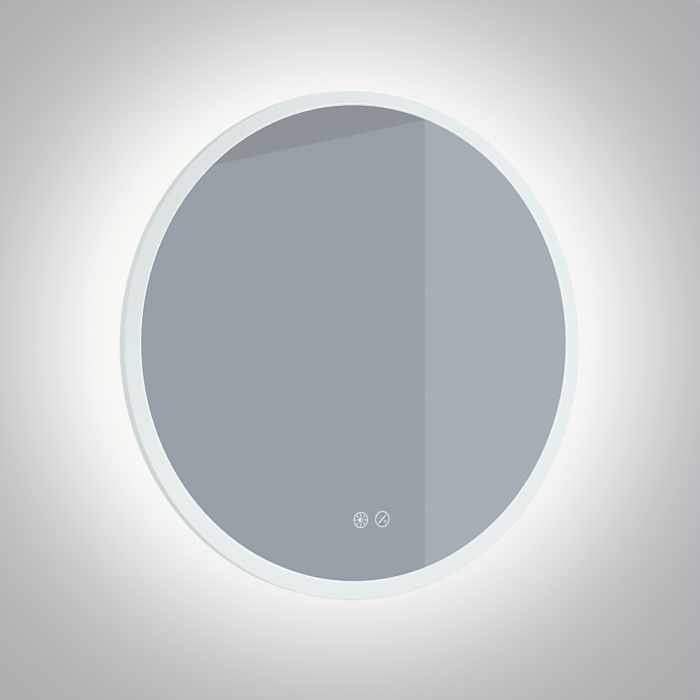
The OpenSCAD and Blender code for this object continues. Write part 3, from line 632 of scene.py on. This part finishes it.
FLOOR_Z = -1.20
WALL_TOP_Z = 4
WALL_HALF = 6
FLOOR_HALF = 9
FAR_WALL = linear(170, 171.5, 174)
NEAR_WALL = linear(248, 248.2, 245.5)
FLOOR_TONE = linear(219, 219, 218)
GAMMA = 2.2
# Height of the strip over which the wall takes on the floor's tone
WALL_FOOT = 0.42
# Distances from the origin between which the floor takes on the far wall's tone
FLOOR_FADE = (2.2, 6.5)
# The glow on the wall: the radius where it starts to fall, the length of the fall, and its power
GLOW_R = 0.2886
GLOW_REACH = 0.1635
GLOW_POWER = 1.642


def plate(name, corners, m):
    """A flat sheet of the stage, through four corners."""
    mesh = bpy.data.meshes.new(name)
    mesh.from_pydata(corners, [], [list(range(len(corners)))])
    mesh.materials.append(m)
    o = bpy.data.objects.new(name, mesh)
    bpy.context.scene.collection.objects.link(o)
    return o


def show_front(m, n, shader):
    """Ends a plate's material, with the shader on its front only. It isn't sampled as a lamp."""
    clear = n.add("ShaderNodeBsdfTransparent")
    back = n.add("ShaderNodeNewGeometry").outputs["Backfacing"]
    n.add("ShaderNodeOutputMaterial", {"Surface": n.mix_shader(back, shader, clear).outputs[0]})
    m.cycles.emission_sampling = "NONE"


def wall_glow(n, x, z, r):
    """1 behind the rim and 0 far away. Where it falls, and how fast, differs a little by direction."""
    cos, sin = n.math("DIVIDE", x, r), n.math("DIVIDE", z, r)
    cos2 = n.math("SUBTRACT", n.math("MULTIPLY", cos, cos), n.math("MULTIPLY", sin, sin))
    start = n.total(GLOW_R, (cos, 0.0074), (cos2, 0.0149), (sin, 0.0089))
    reach = n.total(GLOW_REACH, (cos, 0.0249), (cos2, 0.0119))
    past = n.math("MAXIMUM", n.math("SUBTRACT", r, start), 0.0)
    fall = n.math("POWER", n.math("DIVIDE", past, reach), GLOW_POWER)
    return n.math("EXPONENT", n.math("MULTIPLY", fall, -1.0))


def wall_paint():
    """A grey wall with the mirror's glow and, at its foot, the floor's tone, mixed as display tones."""
    m, n = blank("wall_paint")
    far, near, low = (tuple(c ** (1 / GAMMA) for c in tone) for tone in (FAR_WALL, NEAR_WALL, FLOOR_TONE))
    x, z, r = n.around()
    tone = n.mix(wall_glow(n, x, z, r), far, near)
    tone = n.mix(n.span(z, FLOOR_Z - RING_Z + WALL_FOOT, FLOOR_Z - RING_Z, smooth=True), tone, low)
    tone = n.add("ShaderNodeGamma", {"Color": tone, "Gamma": GAMMA}).outputs[0]
    show_front(m, n, n.add("ShaderNodeEmission", {"Color": tone, "Strength": 1.0}))
    return m


def floor_paint():
    """A pale floor that takes the mirror's shadow and turns into the far wall's tone in the distance."""
    m, n = blank("floor_paint")
    tone = n.mix(n.noise(3, 4), (0.60, 0.60, 0.59), (0.64, 0.64, 0.63))
    paint = n.add("ShaderNodeBsdfPrincipled", {"Base Color": tone, "Roughness": 0.8})
    far = n.add("ShaderNodeEmission", {"Color": FAR_WALL, "Strength": 1.0})
    away = n.add("ShaderNodeVectorMath", {0: n.place()}, operation="LENGTH").outputs["Value"]
    show_front(m, n, n.mix_shader(n.span(away, *FLOOR_FADE, smooth=True), paint, far))
    return m


wall = plate("wall", [
    (-WALL_HALF, 0, FLOOR_Z), (WALL_HALF, 0, FLOOR_Z),
    (WALL_HALF, 0, WALL_TOP_Z), (-WALL_HALF, 0, WALL_TOP_Z),
], wall_paint())
wall.visible_diffuse = wall.visible_glossy = wall.visible_transmission = wall.visible_shadow = False
floor = plate("floor", [
    (-FLOOR_HALF, -FLOOR_HALF, FLOOR_Z), (FLOOR_HALF, -FLOOR_HALF, FLOOR_Z),
    (FLOOR_HALF, FLOOR_HALF, FLOOR_Z), (-FLOOR_HALF, FLOOR_HALF, FLOOR_Z),
], floor_paint())
floor.visible_glossy = False

# The room that the mirror shows: two plain walls that meet in a corner, a ceiling and a floor


def seen(r, g, b):
    """The room's colour that the silver shows as this display colour."""
    return tuple(c / k for c, k in zip(linear(r, g, b), SILVER))


LEFT_WALL, RIGHT_WALL = seen(152, 160, 168), seen(167, 175, 182)
LEFT_CEILING, RIGHT_CEILING = seen(141, 147, 152), seen(152, 158, 163)
ROOM_FLOOR_FAR, ROOM_FLOOR_NEAR = seen(160, 163, 166), seen(186, 188, 189)
# Directions, as parts of a unit vector: the room's corner, the ceiling's lines and the floor
CORNER_X, CORNER_Y = 0.8764, 0.4816
CEILING_SLOPE, LEFT_CEILING_Z, RIGHT_CEILING_Z = 0.2387, 0.0908, 0.30
ROOM_FLOOR_Z, ROOM_FLOOR_NEAR_Z = -0.35, -0.95
STUDIO_LOW, STUDIO_HIGH = (0.22, 0.22, 0.23), (0.85, 0.86, 0.88)
STUDIO_LOW_Z, STUDIO_HIGH_Z = -0.6, 0.8
SOFT_LIGHT = 0.45


def room(n):
    """What shows in the mirror, and a plain studio for what faces the other way."""
    way = n.add("ShaderNodeTexCoord").outputs["Generated"]
    x, y, z = n.add("ShaderNodeSeparateXYZ", {0: way}).outputs
    left_line = n.math("MAXIMUM", n.math("MULTIPLY", x, CEILING_SLOPE), LEFT_CEILING_Z)
    left = n.mix(n.math("GREATER_THAN", z, left_line), LEFT_WALL, LEFT_CEILING)
    right = n.mix(n.math("GREATER_THAN", z, RIGHT_CEILING_Z), RIGHT_WALL, RIGHT_CEILING)
    is_right = n.math("GREATER_THAN", n.total(0.0, (x, CORNER_X), (y, CORNER_Y)), 0.0)
    low = n.mix(n.span(z, ROOM_FLOOR_Z, ROOM_FLOOR_NEAR_Z), ROOM_FLOOR_FAR, ROOM_FLOOR_NEAR)
    front = n.mix(n.math("LESS_THAN", z, ROOM_FLOOR_Z), n.mix(is_right, left, right), low)
    studio = n.mix(n.span(z, STUDIO_LOW_Z, STUDIO_HIGH_Z, smooth=True), STUDIO_LOW, STUDIO_HIGH)
    return n.mix(n.math("GREATER_THAN", y, 0.0), front, studio)


def build_world():
    """Soft light on the object, the room in what it reflects, and the far wall's tone behind it."""
    world = bpy.data.worlds.new("room")
    bpy.context.scene.world = world
    world.use_nodes = True
    n = Nodes(world.node_tree)
    path = n.add("ShaderNodeLightPath")
    soft = n.add("ShaderNodeBackground", {"Color": (0.98, 0.99, 1.0), "Strength": SOFT_LIGHT})
    mirrored = n.add("ShaderNodeBackground", {"Color": room(n), "Strength": 1.0})
    behind = n.add("ShaderNodeBackground", {"Color": FAR_WALL, "Strength": 1.0})
    lit = n.mix_shader(path.outputs["Is Glossy Ray"], soft, mirrored)
    shown = n.mix_shader(path.outputs["Is Camera Ray"], lit, behind)
    n.add("ShaderNodeOutputWorld", {"Surface": shown.outputs[0]})


build_world()

# Lamps. The two in front light the object without showing in the mirror

WARM, COOL = (1.0, 0.995, 0.985), (0.97, 0.985, 1.0)


def lamp(name, place, size, power, colour, mirrored):
    """A round soft lamp that faces the ring's middle. mirrored says whether reflections show it."""
    data = bpy.data.lights.new(name, "AREA")
    data.shape = "DISK"
    data.size = size
    data.energy = power
    data.color = colour
    o = bpy.data.objects.new(name, data)
    o.location = place
    o.rotation_euler = (Vector((0, 0, RING_Z)) - Vector(place)).to_track_quat("-Z", "Y").to_euler()
    o.visible_glossy = mirrored
    bpy.context.scene.collection.objects.link(o)


lamp("key", (-1.5, -2.3, 2.1), size=1.4, power=54, colour=WARM, mirrored=False)
lamp("fill", (2.0, -1.9, 2.0), size=1.6, power=38, colour=COOL, mirrored=False)
lamp("rear_key", (1.6, 2.2, 1.9), size=1.7, power=52, colour=WARM, mirrored=True)
lamp("rear_fill", (-2.0, 1.9, 1.5), size=1.8, power=22, colour=COOL, mirrored=True)

# Camera, level with the ring's middle and to its left

CAMERA_PLACE = (-1.0732, -2.1451, -0.1458)
CAMERA_TURN_DEGREES = -26.648
LENS_MM = 102.86
SENSOR_MM = 36

camera = bpy.data.objects.new("camera", bpy.data.cameras.new("camera"))
camera.location = CAMERA_PLACE
camera.rotation_euler = (math.radians(90), 0, math.radians(CAMERA_TURN_DEGREES))
camera.data.lens = LENS_MM
camera.data.sensor_width = SENSOR_MM
bpy.context.scene.collection.objects.link(camera)
bpy.context.scene.camera = camera
bpy.context.scene.view_settings.view_transform = "Standard"
